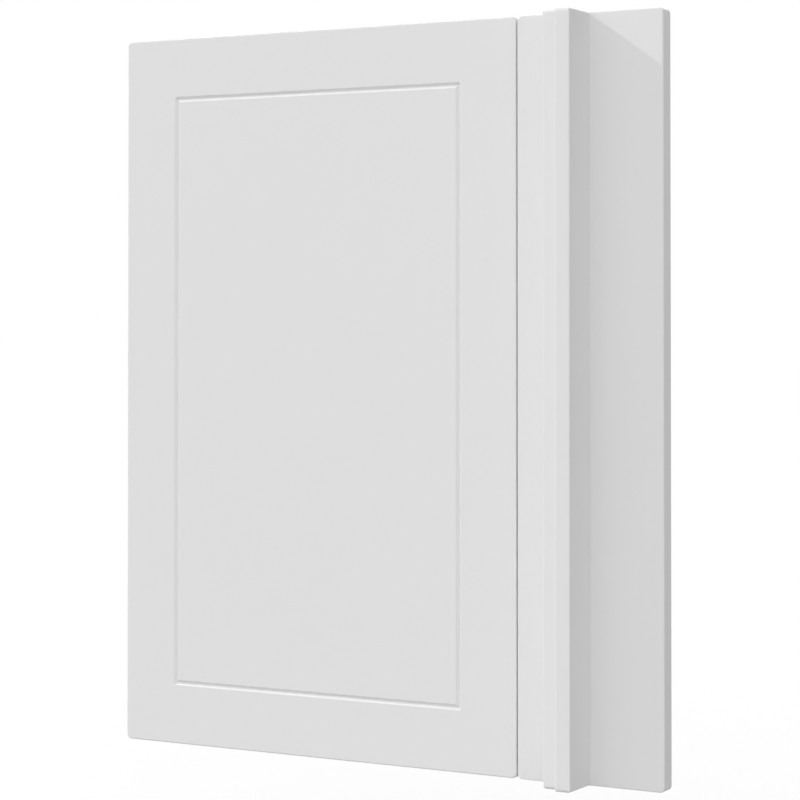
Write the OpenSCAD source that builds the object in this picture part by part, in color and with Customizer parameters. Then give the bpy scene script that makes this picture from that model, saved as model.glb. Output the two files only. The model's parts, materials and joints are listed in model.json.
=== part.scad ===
// Corner cabinet front: a hinged-door panel with a milled frame line, a corner
// post of three boards and a blind panel, all of coated board.
// X runs along the fronts, Y from the room into the cabinet, Z up.

/* [Fronts] */
// Height of every board of the set
front_h = 713; // [500:1:1000]
// Easing of the front edges of the door and the blind panel
edge_r = 1.5; // [1:0.5:3]
// Rounding of the outline corners of the door, the face strip and the blind panel
corner_r = 5; // [3:0.5:8]

/* [Door panel] */
// Width of the door panel
door_w = 447; // [300:1:600]
// Thickness of the door panel
door_t = 16; // [15:0.5:22]

/* [Milled frame line] */
// Distance from the door's edges to the centre of the milled line
groove_inset = 61.5; // [50:0.5:90]
// Width of the milled line
groove_w = 5; // [3:0.5:8]
// Depth of the milled line, to the point of the V before its root is rounded
groove_depth = 2.4; // [1:0.1:3]
// Rounding of the root of the milled line
groove_root_r = 0.8; // [0.3:0.1:1.5]
// Easing of the two shoulders of the milled line
groove_shoulder_r = 1; // [0.4:0.1:1.5]

/* [Hinge cup bores] */
// Diameter of a hinge cup bore
cup_d = 35; // [26:1:40]
// Depth of a hinge cup bore
cup_depth = 12.5; // [10:0.5:13]
// Distance from the door's left edge to a cup's centre
cup_edge_inset = 22.5; // [21:0.5:26]
// Distance from the door's top and bottom to a cup's centre
cup_end_inset = 100; // [70:1:150]
// Diameter of a pilot hole for a hinge screw
pilot_d = 3; // [2:0.5:5]
// Depth of a pilot hole
pilot_depth = 10; // [6:0.5:12]
// Distance between the two pilot holes of a hinge
pilot_pitch = 45; // [42:1:52]
// Distance from a cup's centre line to its pilot holes
pilot_offset = 9.5; // [5:0.5:11]

/* [Corner post] */
// Reveal gap between the door and the post
reveal = 1.5; // [1:0.5:5]
// Width of the face strip, level with the door
face_strip_w = 58.5; // [45:0.5:90]
// Thickness of the face strip
face_strip_t = 16; // [15:0.5:22]
// Thickness of the return strip that stands on the face strip
return_t = 16; // [15:0.5:22]
// How far the return strip stands out in front of the door
return_out = 32; // [28:1:60]
// Thickness of the fixing batten beside the return strip
batten_t = 15; // [14:0.5:22]
// How far the batten stands out in front of the return strip
batten_step = 8; // [4:0.5:20]
// Easing of the open front edges of the post's three boards
post_edge_r = 1; // [0.5:0.5:2]
// Rounding of the ends and of the outline corners of the post's two front boards
post_end_r = 3; // [2:0.5:5]

/* [Blind panel] */
// Width of the blind panel, with the strip that the batten covers
blind_w = 89; // [60:1:300]
// Thickness of the blind panel
blind_t = 16; // [15:0.5:22]
// How far the blind panel's face lies behind the door's face
blind_setback = 3; // [1:0.5:6]

/* [Screws and dowels] */
// Screws in each of the two joints
screw_count = 4; // [2:1:6]
// Distance from the boards' ends to the outermost screws
screw_end_inset = 60; // [40:1:90]
// Length of a screw
screw_len = 40; // [30:1:42]
// Diameter of a screw's shank
screw_d = 4; // [3:0.5:5]
// Diameter of a screw's countersunk head
screw_head_d = 8; // [7:0.5:9]
// Depth of a screw's head below the board
screw_recess = 0.3; // [0.1:0.1:1]
// Diameter of a dowel
dowel_d = 8; // [6:1:8]
// Length of a dowel, half in the return strip and half in the batten
dowel_len = 24; // [16:1:26]
// Clearance round a screw and a dowel
fit_clearance = 0.05; // [0.02:0.01:0.1]
// Clearance at each end of a dowel and past a screw's tip
end_clearance = 0.5; // [0.3:0.1:1]

/* [Hidden] */
$fn = 96;
overrun = 1;

// Places along X, from the door's left edge
strip_x = door_w + reveal;
blind_x = strip_x + face_strip_w;
return_x = blind_x - return_t;
set_w = blind_x + blind_w;

// Places along Y, from the door's face
return_y = -return_out;
batten_y = return_y - batten_step;
set_back = max(door_t, face_strip_t, blind_setback + blind_t);
set_mid_y = (batten_y + set_back) / 2;

// Heights of the screws, and of the dowels between them
screw_pitch = (front_h - 2 * screw_end_inset) / (screw_count - 1);
screw_z = [for (i = [0 : screw_count - 1]) screw_end_inset + i * screw_pitch];
dowel_z = [for (i = [0 : screw_count - 2]) screw_z[i] + screw_pitch / 2];
cup_z = [cup_end_inset, front_h - cup_end_inset];

// A screw's head is a cone of 90 degrees under a thin rim
head_rim = 0.3;
head_cone = (screw_head_d - screw_d) / 2;
tip_len = screw_d;
tip_r = 0.2;
drive_w = 0.9;
drive_span = screw_head_d / 2;
drive_depth = 1.5;
dowel_chamfer = 1;

board_white = [0.93, 0.93, 0.93];

// The set's frame: its middle in X and Y, and its lower edge
module in_set_frame() {
    translate([-set_w / 2, -set_mid_y, 0]) children();
}

// What a rounding takes off the corner at the origin of the first quadrant
module corner_waste(r) {
    if (r > 0) {
        difference() {
            translate([-overrun, -overrun]) square(r + overrun);
            translate([r, r]) circle(r);
        }
    }
}

// Rectangle with a radius for each corner, anticlockwise from the origin
module rounded_rectangle(size, radii) {
    difference() {
        square(size);
        corner_waste(radii[0]);
        translate([size[0], 0]) rotate(90) corner_waste(radii[1]);
        translate(size) rotate(180) corner_waste(radii[2]);
        translate([0, size[1]]) rotate(270) corner_waste(radii[3]);
    }
}

// What is cut off outside a round outline corner at the origin: the corner
// through the board's whole thickness, and the easing that runs round it
module round_corner_waste(r, easing_r, thickness) {
    translate([r, 0, r]) {
        rotate([-90, 0, 0]) {
            rotate([0, 0, 90]) {
                rotate_extrude(angle = 90) {
                    translate([r, 0]) rotate(90) corner_waste(easing_r);
                    translate([r, -overrun]) square([r, thickness + 2 * overrun]);
                }
            }
        }
    }
}

// Board with its face at y = 0, and the radii of its easings: sides for the
// front's left and right edges, ends for the front at both ends, and corners
// for the outline at the left and right
module board(size, sides, ends, corners) {
    difference() {
        intersection() {
            translate([0, 0, -overrun])
                linear_extrude(size[2] + 2 * overrun)
                    rounded_rectangle([size[0], size[1]], [sides[0], sides[1], 0, 0]);
            translate([-overrun, 0, 0])
                rotate([90, 0, 90])
                    linear_extrude(size[0] + 2 * overrun)
                        rounded_rectangle([size[1], size[2]], [ends, 0, 0, ends]);
        }
        for (side = [0, 1], end = [0, 1]) {
            if (corners[side] > 0) {
                translate([side * size[0], 0, end * size[2]])
                    mirror([side, 0, 0])
                        mirror([0, 0, end])
                            round_corner_waste(corners[side], sides[side], size[1]);
            }
        }
    }
}

// Section of the milled line: a V with a round root and eased shoulders, whose
// mouth is on the X axis and whose root points down
module groove_section() {
    half = groove_w / 2;
    slope = atan2(groove_depth, half);
    tangent = groove_shoulder_r * tan(slope / 2);
    mouth = half + tangent;
    on_wall = [half - tangent * cos(slope), -tangent * sin(slope)];
    root_mid = groove_root_r / cos(slope) - groove_depth;
    on_root = [groove_root_r * sin(slope), root_mid - groove_root_r * cos(slope)];
    polygon([
        [-half, 0], [-on_root[0], on_root[1]], on_root, [half, 0],
        [mouth, 0], [mouth, overrun], [-mouth, overrun], [-mouth, 0]
    ]);
    translate([0, root_mid]) circle(groove_root_r);
    for (side = [-1, 1]) {
        scale([side, 1]) {
            difference() {
                polygon([[half - 2 * tangent, 0], on_wall, [mouth, 0]]);
                translate([mouth, -groove_shoulder_r]) circle(groove_shoulder_r);
            }
        }
    }
}

// The line along one side of the frame, from corner centre to corner centre
module groove_run(length) {
    rotate([90, 0, 90]) linear_extrude(length) groove_section();
}

// The cutter's own round form, left at each corner where it turns
module groove_turn() {
    rotate_extrude() {
        intersection() {
            groove_section();
            translate([0, -groove_w]) square([groove_w * 2, groove_w + overrun]);
        }
    }
}

// The whole milled line, on the door's face
module milled_frame_line() {
    run_x = door_w - 2 * groove_inset;
    run_z = front_h - 2 * groove_inset;
    translate([groove_inset, 0, groove_inset]) {
        rotate([90, 0, 0]) {
            for (z = [0, run_z]) translate([0, z, 0]) groove_run(run_x);
            for (x = [0, run_x]) translate([x, 0, 0]) rotate(90) groove_run(run_z);
            for (x = [0, run_x], z = [0, run_z]) translate([x, z, 0]) groove_turn();
        }
    }
}

// A round hole into a board's back, with its mouth at y
module bore_from_back(x, y, z, d, depth) {
    translate([x, y - depth, z]) rotate([-90, 0, 0]) cylinder(d = d, h = depth + overrun);
}

// A hinge's cup bore and its two pilot holes
module hinge_bores(z) {
    bore_from_back(cup_edge_inset, door_t, z, cup_d, cup_depth);
    for (side = [-1, 1]) {
        bore_from_back(cup_edge_inset + pilot_offset, door_t, z + side * pilot_pitch / 2,
            pilot_d, pilot_depth);
    }
}

// A screw, or with grow above 0 the hole for it: the head's top is at the
// origin and the tip points along -Y
module screw(grow = 0) {
    shank_r = screw_d / 2 + grow;
    head_r = screw_head_d / 2 + grow;
    reach = screw_len + (grow > 0 ? end_clearance : 0);
    rotate([90, 0, 0]) {
        cylinder(r = head_r, h = head_rim);
        translate([0, 0, head_rim]) cylinder(r1 = head_r, r2 = shank_r, h = head_cone);
        cylinder(r = shank_r, h = reach - tip_len);
        translate([0, 0, reach - tip_len]) cylinder(r1 = shank_r, r2 = tip_r, h = tip_len);
    }
}

// The cross recess in a screw's head
module drive_recess() {
    for (turn = [0, 90]) {
        rotate([0, turn, 0])
            translate([-drive_span / 2, -drive_depth, -drive_w / 2])
                cube([drive_span, drive_depth + overrun, drive_w]);
    }
}

// The open mouth over a screw's head, up to the board's back
module screw_mouth() {
    rotate([-90, 0, 0]) cylinder(r = screw_head_d / 2 + fit_clearance, h = screw_recess + overrun);
}

// The screws of both joints, or the holes for them: the face strip is screwed
// to the return strip, and the blind panel to the batten, each from the back
module at_screws() {
    joints = [
        [return_x + return_t / 2, face_strip_t],
        [blind_x + batten_t / 2, blind_setback + blind_t]
    ];
    for (joint = joints, z = screw_z) {
        translate([joint[0], joint[1] - screw_recess, z]) children();
    }
}

module screw_holes() {
    at_screws() {
        screw(fit_clearance);
        screw_mouth();
    }
}

// The dowels across the seat between the return strip and the batten
module at_dowels() {
    for (z = dowel_z) {
        translate([blind_x, return_y / 2, z]) rotate([0, 90, 0]) children();
    }
}

module dowel_holes() {
    at_dowels() {
        cylinder(d = dowel_d + 2 * fit_clearance, h = dowel_len + 2 * end_clearance, center = true);
    }
}

// Sub-parts

module door_panel() {
    color(board_white) in_set_frame() {
        difference() {
            board([door_w, door_t, front_h], [edge_r, edge_r], edge_r, [corner_r, corner_r]);
            milled_frame_line();
            for (z = cup_z) hinge_bores(z);
        }
    }
}

module face_strip() {
    color(board_white) in_set_frame() {
        difference() {
            translate([strip_x, 0, 0])
                board([face_strip_w, face_strip_t, front_h], [post_edge_r, 0], post_edge_r,
                    [corner_r, 0]);
            screw_holes();
        }
    }
}

module return_strip() {
    color(board_white) in_set_frame() {
        difference() {
            translate([return_x, return_y, 0])
                board([return_t, return_out, front_h], [post_edge_r, 0], post_end_r,
                    [post_end_r, 0]);
            screw_holes();
            dowel_holes();
        }
    }
}

module fixing_batten() {
    color(board_white) in_set_frame() {
        difference() {
            translate([blind_x, batten_y, 0])
                board([batten_t, blind_setback - batten_y, front_h], [post_edge_r, post_edge_r],
                    post_end_r, [0, post_end_r]);
            screw_holes();
            dowel_holes();
        }
    }
}

module blind_panel() {
    color(board_white) in_set_frame() {
        difference() {
            translate([blind_x, blind_setback, 0])
                board([blind_w, blind_t, front_h], [0, edge_r], edge_r, [0, corner_r]);
            screw_holes();
        }
    }
}

module countersunk_screws() {
    color("silver") in_set_frame() {
        at_screws() {
            difference() {
                screw();
                drive_recess();
            }
        }
    }
}

module wood_dowels() {
    color("burlywood") in_set_frame() {
        at_dowels() {
            intersection() {
                cylinder(d = dowel_d, h = dowel_len, center = true);
                union() {
                    for (end = [0, 180]) {
                        rotate([end, 0, 0])
                            cylinder(r1 = dowel_d / 2 + dowel_len / 2 - dowel_chamfer,
                                r2 = dowel_d / 2 - dowel_chamfer, h = dowel_len / 2);
                    }
                }
            }
        }
    }
}

door_panel();
face_strip();
return_strip();
fixing_batten();
blind_panel();
countersunk_screws();
wood_dowels();
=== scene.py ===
"""Kitchen cabinet door with its corner post and blind panel: finishes, light and camera.

Everything is in metres, in the frame of the solids: X to the right along the fronts, Y from
the room into the cabinet, Z up.
"""

import json
import math

import bpy
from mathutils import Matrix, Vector


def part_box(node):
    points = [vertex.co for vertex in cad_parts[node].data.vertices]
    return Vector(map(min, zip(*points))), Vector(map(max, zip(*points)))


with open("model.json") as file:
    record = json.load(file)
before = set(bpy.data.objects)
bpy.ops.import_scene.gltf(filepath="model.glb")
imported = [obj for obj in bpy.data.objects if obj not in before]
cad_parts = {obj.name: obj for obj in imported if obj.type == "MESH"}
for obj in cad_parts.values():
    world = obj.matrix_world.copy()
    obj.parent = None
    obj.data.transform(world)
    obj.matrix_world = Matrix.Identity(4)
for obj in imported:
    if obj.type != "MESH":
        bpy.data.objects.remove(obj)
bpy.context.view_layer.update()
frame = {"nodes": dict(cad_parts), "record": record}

MM = 0.001

# The view: where the camera stands, which way it looks and how it is framed
CAMERA_PLACE = (1.2068, -2.0566, 0.4326)
CAMERA_PITCH = math.radians(90.908)
CAMERA_AZIMUTH = math.radians(29.778)
CAMERA_LENS = 111.483
CAMERA_SHIFT_Y = -0.155

# The sky: how bright it is straight in front of, behind and to the right of the set
SKY_FRONT = 1.5
SKY_BEHIND = 0.1
SKY_RIGHT = 0.45

# Lamps: what each adds to a surface square to it, as a share of white. The key grazes
# the fronts from the upper left, and the back lamp reaches the boards' backs alone.
KEY_LEVEL = 0.495
KEY_HEADING = (4.7, 1.0, -3.3)
KEY_SPREAD = math.radians(2)
BACK_LEVEL = 0.5
BACK_HEADING = (0.6, -1.0, -0.5)
BACK_SPREAD = math.radians(30)

# The floor lies below the fronts by the height of a cabinet's plinth
PLINTH_HEIGHT = 0.12
FLOOR_REACH = 40.0
FLOOR_GREY = 0.4
FLOOR_GLOW = 0.64

# Finishes
FOIL_WHITE = (0.88, 0.88, 0.88)
FOIL_SHADE = (0.868, 0.869, 0.872)
MELAMINE_WHITE = (0.85, 0.85, 0.845)
FIBRE_BROWN = (0.43, 0.29, 0.16)
FIBRE_DARK = (0.28, 0.17, 0.085)
ZINC_GREY = (0.68, 0.69, 0.71)
ZINC_DULL = (0.5, 0.51, 0.53)
BEECH_LIGHT = (0.6, 0.4, 0.235)
BEECH_DARK = (0.44, 0.27, 0.145)
PILOT_REACH = 12 * MM


def socket(group, name, direction, kind, value=None):
    """A named input or output of a node group."""
    made = group.interface.new_socket(name, in_out=direction, socket_type=kind)
    if value is not None:
        made.default_value = value


def add_node(tree, kind, **settings):
    """A node with its own settings, such as operation, set by name."""
    made = tree.nodes.new(kind)
    for name, value in settings.items():
        setattr(made, name, value)
    return made


def feed(tree, target, source):
    """Links source to an input, or writes it there where it is a plain value."""
    if isinstance(source, bpy.types.NodeSocket):
        tree.links.new(source, target)
    else:
        target.default_value = source


def arithmetic(tree, operation, first, second=0.0, clamp=False):
    """A Math node on two inputs."""
    made = add_node(tree, "ShaderNodeMath", operation=operation, use_clamp=clamp)
    feed(tree, made.inputs[0], first)
    feed(tree, made.inputs[1], second)
    return made.outputs[0]


def blend_colours(tree, share, first, second):
    """The first colour turning into the second one as share goes from 0 to 1."""
    made = add_node(tree, "ShaderNodeMix", data_type="RGBA")
    feed(tree, made.inputs["Factor"], share)
    for slot, colour in ((6, first), (7, second)):
        is_plain = not isinstance(colour, bpy.types.NodeSocket)
        feed(tree, made.inputs[slot], (*colour, 1.0) if is_plain else colour)
    return made.outputs[2]


def noise(tree, position, size, detail=2.0, roughness=0.5):
    """Noise whose lumps are about size metres across."""
    made = add_node(tree, "ShaderNodeTexNoise")
    feed(tree, made.inputs["Vector"], position)
    made.inputs["Scale"].default_value = 1.0 / size
    made.inputs["Detail"].default_value = detail
    made.inputs["Roughness"].default_value = roughness
    return made.outputs["Fac"]


def new_group(name):
    """An empty shader node group, with its input and output nodes."""
    group = bpy.data.node_groups.new(name, "ShaderNodeTree")
    return group, add_node(group, "NodeGroupInput"), add_node(group, "NodeGroupOutput")


def build_surface_grain():
    """Fine peel of a pressed or rolled surface, with the slow waviness of the board under it."""
    group, given, result = new_group("SurfaceGrain")
    socket(group, "Position", "INPUT", "NodeSocketVector")
    socket(group, "Grain Scale", "INPUT", "NodeSocketFloat", 900.0)
    socket(group, "Wave Share", "INPUT", "NodeSocketFloat", 0.5)
    socket(group, "Base Roughness", "INPUT", "NodeSocketFloat", 0.5)
    socket(group, "Roughness Spread", "INPUT", "NodeSocketFloat", 0.05)
    socket(group, "Height", "OUTPUT", "NodeSocketFloat")
    socket(group, "Roughness", "OUTPUT", "NodeSocketFloat")
    socket(group, "Cloud", "OUTPUT", "NodeSocketFloat")

    peel = add_node(group, "ShaderNodeTexNoise")
    feed(group, peel.inputs["Vector"], given.outputs["Position"])
    feed(group, peel.inputs["Scale"], given.outputs["Grain Scale"])
    peel.inputs["Detail"].default_value = 3.0
    wave = noise(group, given.outputs["Position"], 35 * MM, 1.0)
    cloud = noise(group, given.outputs["Position"], 120 * MM, 3.0)

    waviness = arithmetic(group, "MULTIPLY", wave, given.outputs["Wave Share"])
    feed(group, result.inputs["Height"], arithmetic(group, "ADD", peel.outputs["Fac"], waviness))
    centred = arithmetic(group, "SUBTRACT", cloud, 0.5)
    change = arithmetic(group, "MULTIPLY", centred, given.outputs["Roughness Spread"])
    feed(group, result.inputs["Roughness"],
         arithmetic(group, "ADD", change, given.outputs["Base Roughness"]))
    feed(group, result.inputs["Cloud"], cloud)
    return group


def build_bore_mask():
    """1 inside a round bore that runs along Y from its mouth at Centre, and 0 elsewhere."""
    group, given, result = new_group("BoreMask")
    socket(group, "Position", "INPUT", "NodeSocketVector")
    socket(group, "Centre", "INPUT", "NodeSocketVector")
    socket(group, "Radius", "INPUT", "NodeSocketFloat", 1.0)
    socket(group, "Depth", "INPUT", "NodeSocketFloat", 1.0)
    socket(group, "Mask", "OUTPUT", "NodeSocketFloat")

    offset = add_node(group, "ShaderNodeVectorMath", operation="SUBTRACT")
    feed(group, offset.inputs[0], given.outputs["Position"])
    feed(group, offset.inputs[1], given.outputs["Centre"])
    across = add_node(group, "ShaderNodeVectorMath", operation="MULTIPLY")
    feed(group, across.inputs[0], offset.outputs["Vector"])
    across.inputs[1].default_value = (1.0, 0.0, 1.0)
    distance = add_node(group, "ShaderNodeVectorMath", operation="LENGTH")
    feed(group, distance.inputs[0], across.outputs["Vector"])
    parts = add_node(group, "ShaderNodeSeparateXYZ")
    feed(group, parts.inputs[0], offset.outputs["Vector"])

    inside = arithmetic(group, "LESS_THAN", distance.outputs["Value"], given.outputs["Radius"])
    floor_y = arithmetic(group, "MULTIPLY", given.outputs["Depth"], -1.0)
    above_floor = arithmetic(group, "GREATER_THAN", parts.outputs["Y"], floor_y)
    feed(group, result.inputs["Mask"], arithmetic(group, "MULTIPLY", inside, above_floor))
    return group


def build_fibre():
    """Pressed wood fibre, as a cut or a bore shows it: short specks of two browns."""
    group, given, result = new_group("PressedFibre")
    socket(group, "Position", "INPUT", "NodeSocketVector")
    socket(group, "Light", "INPUT", "NodeSocketColor", (0.5, 0.5, 0.5, 1.0))
    socket(group, "Dark", "INPUT", "NodeSocketColor", (0.2, 0.2, 0.2, 1.0))
    socket(group, "Color", "OUTPUT", "NodeSocketColor")
    socket(group, "Height", "OUTPUT", "NodeSocketFloat")

    specks = noise(group, given.outputs["Position"], 0.9 * MM, 4.0, 0.7)
    sharper = add_node(group, "ShaderNodeMapRange")
    feed(group, sharper.inputs["Value"], specks)
    sharper.inputs["From Min"].default_value = 0.35
    sharper.inputs["From Max"].default_value = 0.7
    feed(group, result.inputs["Color"],
         blend_colours(group, sharper.outputs["Result"], given.outputs["Light"], given.outputs["Dark"]))
    feed(group, result.inputs["Height"], specks)
    return group


def place_group(tree, group, **values):
    """A node group placed in a material, with its inputs given by name."""
    made = add_node(tree, "ShaderNodeGroup", node_tree=group)
    for name, value in values.items():
        feed(tree, made.inputs[name.replace("_", " ")], value)
    return made.outputs


def new_material(name):
    """A material with a Principled shader and the position on the object."""
    material = bpy.data.materials.new(name)
    material.use_nodes = True
    tree = material.node_tree
    shader = tree.nodes["Principled BSDF"]
    position = add_node(tree, "ShaderNodeTexCoord").outputs["Object"]
    return material, tree, shader, position


def relief(tree, shader, height, depth, strength=1.0):
    """Surface relief of the given depth, from a height between 0 and 1."""
    bump = add_node(tree, "ShaderNodeBump")
    feed(tree, bump.inputs["Height"], height)
    bump.inputs["Distance"].default_value = depth
    bump.inputs["Strength"].default_value = strength
    feed(tree, shader.inputs["Normal"], bump.outputs["Normal"])


def bore_list(node_name):
    """Mouth, radius and depth of each bore that the record gives on a board's back."""
    low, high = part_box(node_name)
    bores = []
    for mount in frame["record"]["mounts"]:
        place, size = mount["pos_m"], mount["dims"]
        if not low[0] < place[0] < high[0]:
            continue
        if mount["kind"] == "bore":
            bores.append((place, size["r_mm"] * MM, size["length_mm"] * MM))
        if mount["kind"] == "bolt_pattern":
            half_pitch = size["spacing_y_mm"] * MM / 2
            for side in (-1, 1):
                mouth = (place[0], place[1], place[2] + side * half_pitch)
                bores.append((mouth, size["hole_r_mm"] * MM, PILOT_REACH))
    return bores


def coated_board(name, groups, back_y, bores=()):
    """White foil on the face and the edges, melamine on the back, bare fibre in the bores."""
    material, tree, shader, position = new_material(name)
    foil = place_group(tree, groups["grain"], Position=position, Grain_Scale=1100.0,
                       Wave_Share=0.35, Base_Roughness=0.46, Roughness_Spread=0.08)
    melamine = place_group(tree, groups["grain"], Position=position, Grain_Scale=600.0,
                           Wave_Share=0.1, Base_Roughness=0.38, Roughness_Spread=0.06)
    fibre = place_group(tree, groups["fibre"], Position=position,
                        Light=(*FIBRE_BROWN, 1.0), Dark=(*FIBRE_DARK, 1.0))

    parts = add_node(tree, "ShaderNodeSeparateXYZ")
    feed(tree, parts.inputs[0], position)
    on_back = arithmetic(tree, "GREATER_THAN", parts.outputs["Y"], back_y - 0.1 * MM)
    in_bore = 0.0
    for mouth, radius, depth in bores:
        mask = place_group(tree, groups["bore"], Position=position, Centre=mouth,
                           Radius=radius + 0.15 * MM, Depth=depth + 0.2 * MM)["Mask"]
        in_bore = arithmetic(tree, "MAXIMUM", mask, in_bore)

    face_colour = blend_colours(tree, foil["Cloud"], FOIL_WHITE, FOIL_SHADE)
    coat_colour = blend_colours(tree, on_back, face_colour, MELAMINE_WHITE)
    feed(tree, shader.inputs["Base Color"], blend_colours(tree, in_bore, coat_colour, fibre["Color"]))

    coat_roughness = add_node(tree, "ShaderNodeMix", data_type="FLOAT")
    feed(tree, coat_roughness.inputs["Factor"], on_back)
    feed(tree, coat_roughness.inputs[2], foil["Roughness"])
    feed(tree, coat_roughness.inputs[3], melamine["Roughness"])
    bare = arithmetic(tree, "MULTIPLY", in_bore, 0.45)
    feed(tree, shader.inputs["Roughness"],
         arithmetic(tree, "ADD", coat_roughness.outputs[0], bare, clamp=True))
    shader.inputs["IOR"].default_value = 1.47

    coat_height = add_node(tree, "ShaderNodeMix", data_type="FLOAT")
    feed(tree, coat_height.inputs["Factor"], on_back)
    feed(tree, coat_height.inputs[2], foil["Height"])
    feed(tree, coat_height.inputs[3], melamine["Height"])
    rough_fibre = arithmetic(tree, "MULTIPLY", fibre["Height"], arithmetic(tree, "MULTIPLY", in_bore, 6.0))
    relief(tree, shader, arithmetic(tree, "ADD", coat_height.outputs[0], rough_fibre), 0.02 * MM)
    return material


def zinc_plate(groups):
    """Bright zinc plate of the screws, clouded as plating is."""
    material, tree, shader, position = new_material("ZincPlate")
    plate = place_group(tree, groups["grain"], Position=position, Grain_Scale=2500.0,
                        Wave_Share=0.2, Base_Roughness=0.3, Roughness_Spread=0.3)
    mottle = noise(tree, position, 1.2 * MM, 3.0)
    feed(tree, shader.inputs["Base Color"], blend_colours(tree, mottle, ZINC_GREY, ZINC_DULL))
    feed(tree, shader.inputs["Roughness"], plate["Roughness"])
    shader.inputs["Metallic"].default_value = 1.0
    relief(tree, shader, plate["Height"], 0.02 * MM)
    return material


def beech():
    """Plain beech: fine fibres in two browns, stretched along the dowel."""
    material, tree, shader, position = new_material("Beech")
    stretch = add_node(tree, "ShaderNodeMapping")
    feed(tree, stretch.inputs["Vector"], position)
    stretch.inputs["Scale"].default_value = (0.12, 1.0, 1.0)
    fibres = noise(tree, stretch.outputs["Vector"], 0.5 * MM, 4.0, 0.65)
    feed(tree, shader.inputs["Base Color"], blend_colours(tree, fibres, BEECH_LIGHT, BEECH_DARK))
    polish = arithmetic(tree, "MULTIPLY", fibres, 0.2)
    feed(tree, shader.inputs["Roughness"], arithmetic(tree, "ADD", polish, 0.45))
    relief(tree, shader, fibres, 0.05 * MM)
    return material


def build_round_shading():
    """Geometry nodes that shade the rounded edges smooth and keep the true corners sharp."""
    group = bpy.data.node_groups.new("RoundShading", "GeometryNodeTree")
    socket(group, "Geometry", "INPUT", "NodeSocketGeometry")
    socket(group, "Geometry", "OUTPUT", "NodeSocketGeometry")
    given = add_node(group, "NodeGroupInput")
    result = add_node(group, "NodeGroupOutput")
    angle = add_node(group, "GeometryNodeInputMeshEdgeAngle")
    soft = arithmetic(group, "LESS_THAN", angle.outputs["Unsigned Angle"], math.radians(32))
    edges = add_node(group, "GeometryNodeSetShadeSmooth", domain="EDGE")
    faces = add_node(group, "GeometryNodeSetShadeSmooth", domain="FACE")
    feed(group, edges.inputs["Geometry"], given.outputs["Geometry"])
    feed(group, edges.inputs["Shade Smooth"], soft)
    feed(group, faces.inputs["Geometry"], edges.outputs["Geometry"])
    feed(group, result.inputs["Geometry"], faces.outputs["Geometry"])
    return group


def dress(piece, material, shading):
    """Gives a solid its finish and its shading."""
    piece.data.materials.clear()
    piece.data.materials.append(material)
    modifier = piece.modifiers.new("RoundShading", "NODES")
    modifier.node_group = shading


def dress_all():
    """Every solid gets its own finish."""
    groups = {"grain": build_surface_grain(), "bore": build_bore_mask(), "fibre": build_fibre()}
    shading = build_round_shading()
    zinc = zinc_plate(groups)
    wood = beech()
    for name, piece in frame["nodes"].items():
        if name == "countersunk_screws":
            dress(piece, zinc, shading)
        elif name == "wood_dowels":
            dress(piece, wood, shading)
        else:
            back_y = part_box(name)[1][1]
            board = coated_board("Coated_" + name, groups, back_y, bore_list(name))
            dress(piece, board, shading)


def make_camera():
    """The photograph's view: from the right of the door, and tipped up by less than a degree."""
    data = bpy.data.cameras.new("Camera")
    data.lens = CAMERA_LENS
    data.shift_y = CAMERA_SHIFT_Y
    data.clip_end = 100.0
    camera = bpy.data.objects.new("Camera", data)
    bpy.context.scene.collection.objects.link(camera)
    camera.location = CAMERA_PLACE
    camera.rotation_euler = (CAMERA_PITCH, 0.0, CAMERA_AZIMUTH)
    bpy.context.scene.camera = camera


def make_sun(name, level, heading, spread):
    """A lamp far off that adds level, as a share of white, to a surface square to it."""
    data = bpy.data.lights.new(name, "SUN")
    data.energy = level * math.pi
    data.angle = spread
    lamp = bpy.data.objects.new(name, data)
    bpy.context.scene.collection.objects.link(lamp)
    lamp.rotation_mode = "QUATERNION"
    lamp.rotation_quaternion = Vector(heading).to_track_quat("-Z", "Y")


def seen_directly(tree):
    """1 for rays from the camera, a mirror or glass, and 0 for the light on the object."""
    path = add_node(tree, "ShaderNodeLightPath")
    mirrored = arithmetic(tree, "MAXIMUM", path.outputs["Is Camera Ray"], path.outputs["Is Glossy Ray"])
    return arithmetic(tree, "MAXIMUM", mirrored, path.outputs["Is Transmission Ray"])


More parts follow.
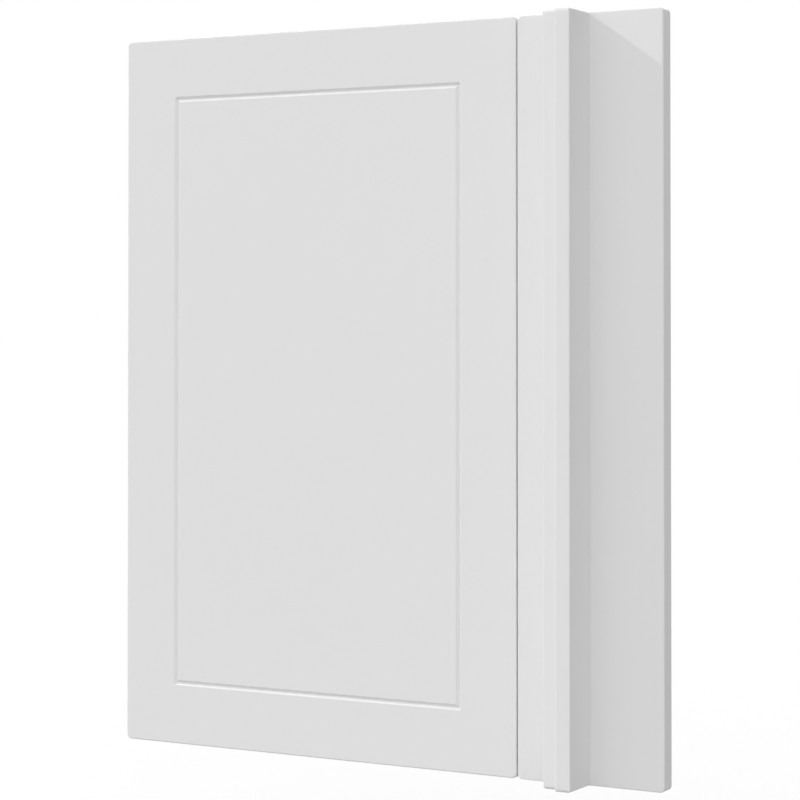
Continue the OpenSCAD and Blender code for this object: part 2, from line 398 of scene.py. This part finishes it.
def make_sky():
    """White to the eye, and to the object a wide soft light, strongest from the front."""
    world = bpy.data.worlds.new("Sky")
    world.use_nodes = True
    tree = world.node_tree
    background = tree.nodes["Background"]
    background.inputs["Color"].default_value = (1.0, 1.0, 1.0, 1.0)
    way = add_node(tree, "ShaderNodeSeparateXYZ")
    feed(tree, way.inputs[0], add_node(tree, "ShaderNodeTexCoord").outputs["Generated"])
    light = 0.0
    for axis, share in (("Y", -SKY_FRONT), ("Y", SKY_BEHIND), ("X", SKY_RIGHT)):
        side = arithmetic(tree, "MULTIPLY", way.outputs[axis], share)
        light = arithmetic(tree, "ADD", arithmetic(tree, "MAXIMUM", side, 0.0), light)
    level = add_node(tree, "ShaderNodeMix", data_type="FLOAT")
    feed(tree, level.inputs["Factor"], seen_directly(tree))
    feed(tree, level.inputs[2], light)
    level.inputs[3].default_value = 1.0
    feed(tree, background.inputs["Strength"], level.outputs[0])
    bpy.context.scene.world = world


def floor_finish():
    """Pale floor, lit to white for the eye, that keeps shadows and is clear from below."""
    material = bpy.data.materials.new("PaleFloor")
    material.use_nodes = True
    tree = material.node_tree
    shader = tree.nodes["Principled BSDF"]
    shader.inputs["Base Color"].default_value = (FLOOR_GREY, FLOOR_GREY, FLOOR_GREY, 1.0)
    shader.inputs["Roughness"].default_value = 1.0
    shader.inputs["Specular IOR Level"].default_value = 0.0
    shader.inputs["Emission Color"].default_value = (1.0, 1.0, 1.0, 1.0)
    feed(tree, shader.inputs["Emission Strength"],
         arithmetic(tree, "MULTIPLY", seen_directly(tree), FLOOR_GLOW))
    clear = add_node(tree, "ShaderNodeBsdfTransparent")
    side = add_node(tree, "ShaderNodeMixShader")
    feed(tree, side.inputs[0], add_node(tree, "ShaderNodeNewGeometry").outputs["Backfacing"])
    feed(tree, side.inputs[1], shader.outputs[0])
    feed(tree, side.inputs[2], clear.outputs[0])
    feed(tree, tree.nodes["Material Output"].inputs["Surface"], side.outputs[0])
    return material


def make_floor():
    """A plain floor, a plinth's height below the fronts."""
    mesh = bpy.data.meshes.new("Floor")
    corners = [(x * FLOOR_REACH, y * FLOOR_REACH, 0.0) for x, y in ((-1, -1), (1, -1), (1, 1), (-1, 1))]
    mesh.from_pydata(corners, [], [(0, 1, 2, 3)])
    mesh.materials.append(floor_finish())
    floor = bpy.data.objects.new("Floor", mesh)
    floor.location = (0.0, 0.0, -PLINTH_HEIGHT)
    bpy.context.scene.collection.objects.link(floor)


dress_all()
make_camera()
make_sky()
make_floor()
make_sun("Key", KEY_LEVEL, KEY_HEADING, KEY_SPREAD)
make_sun("Back", BACK_LEVEL, BACK_HEADING, BACK_SPREAD)
bpy.context.scene.view_settings.view_transform = "Standard"
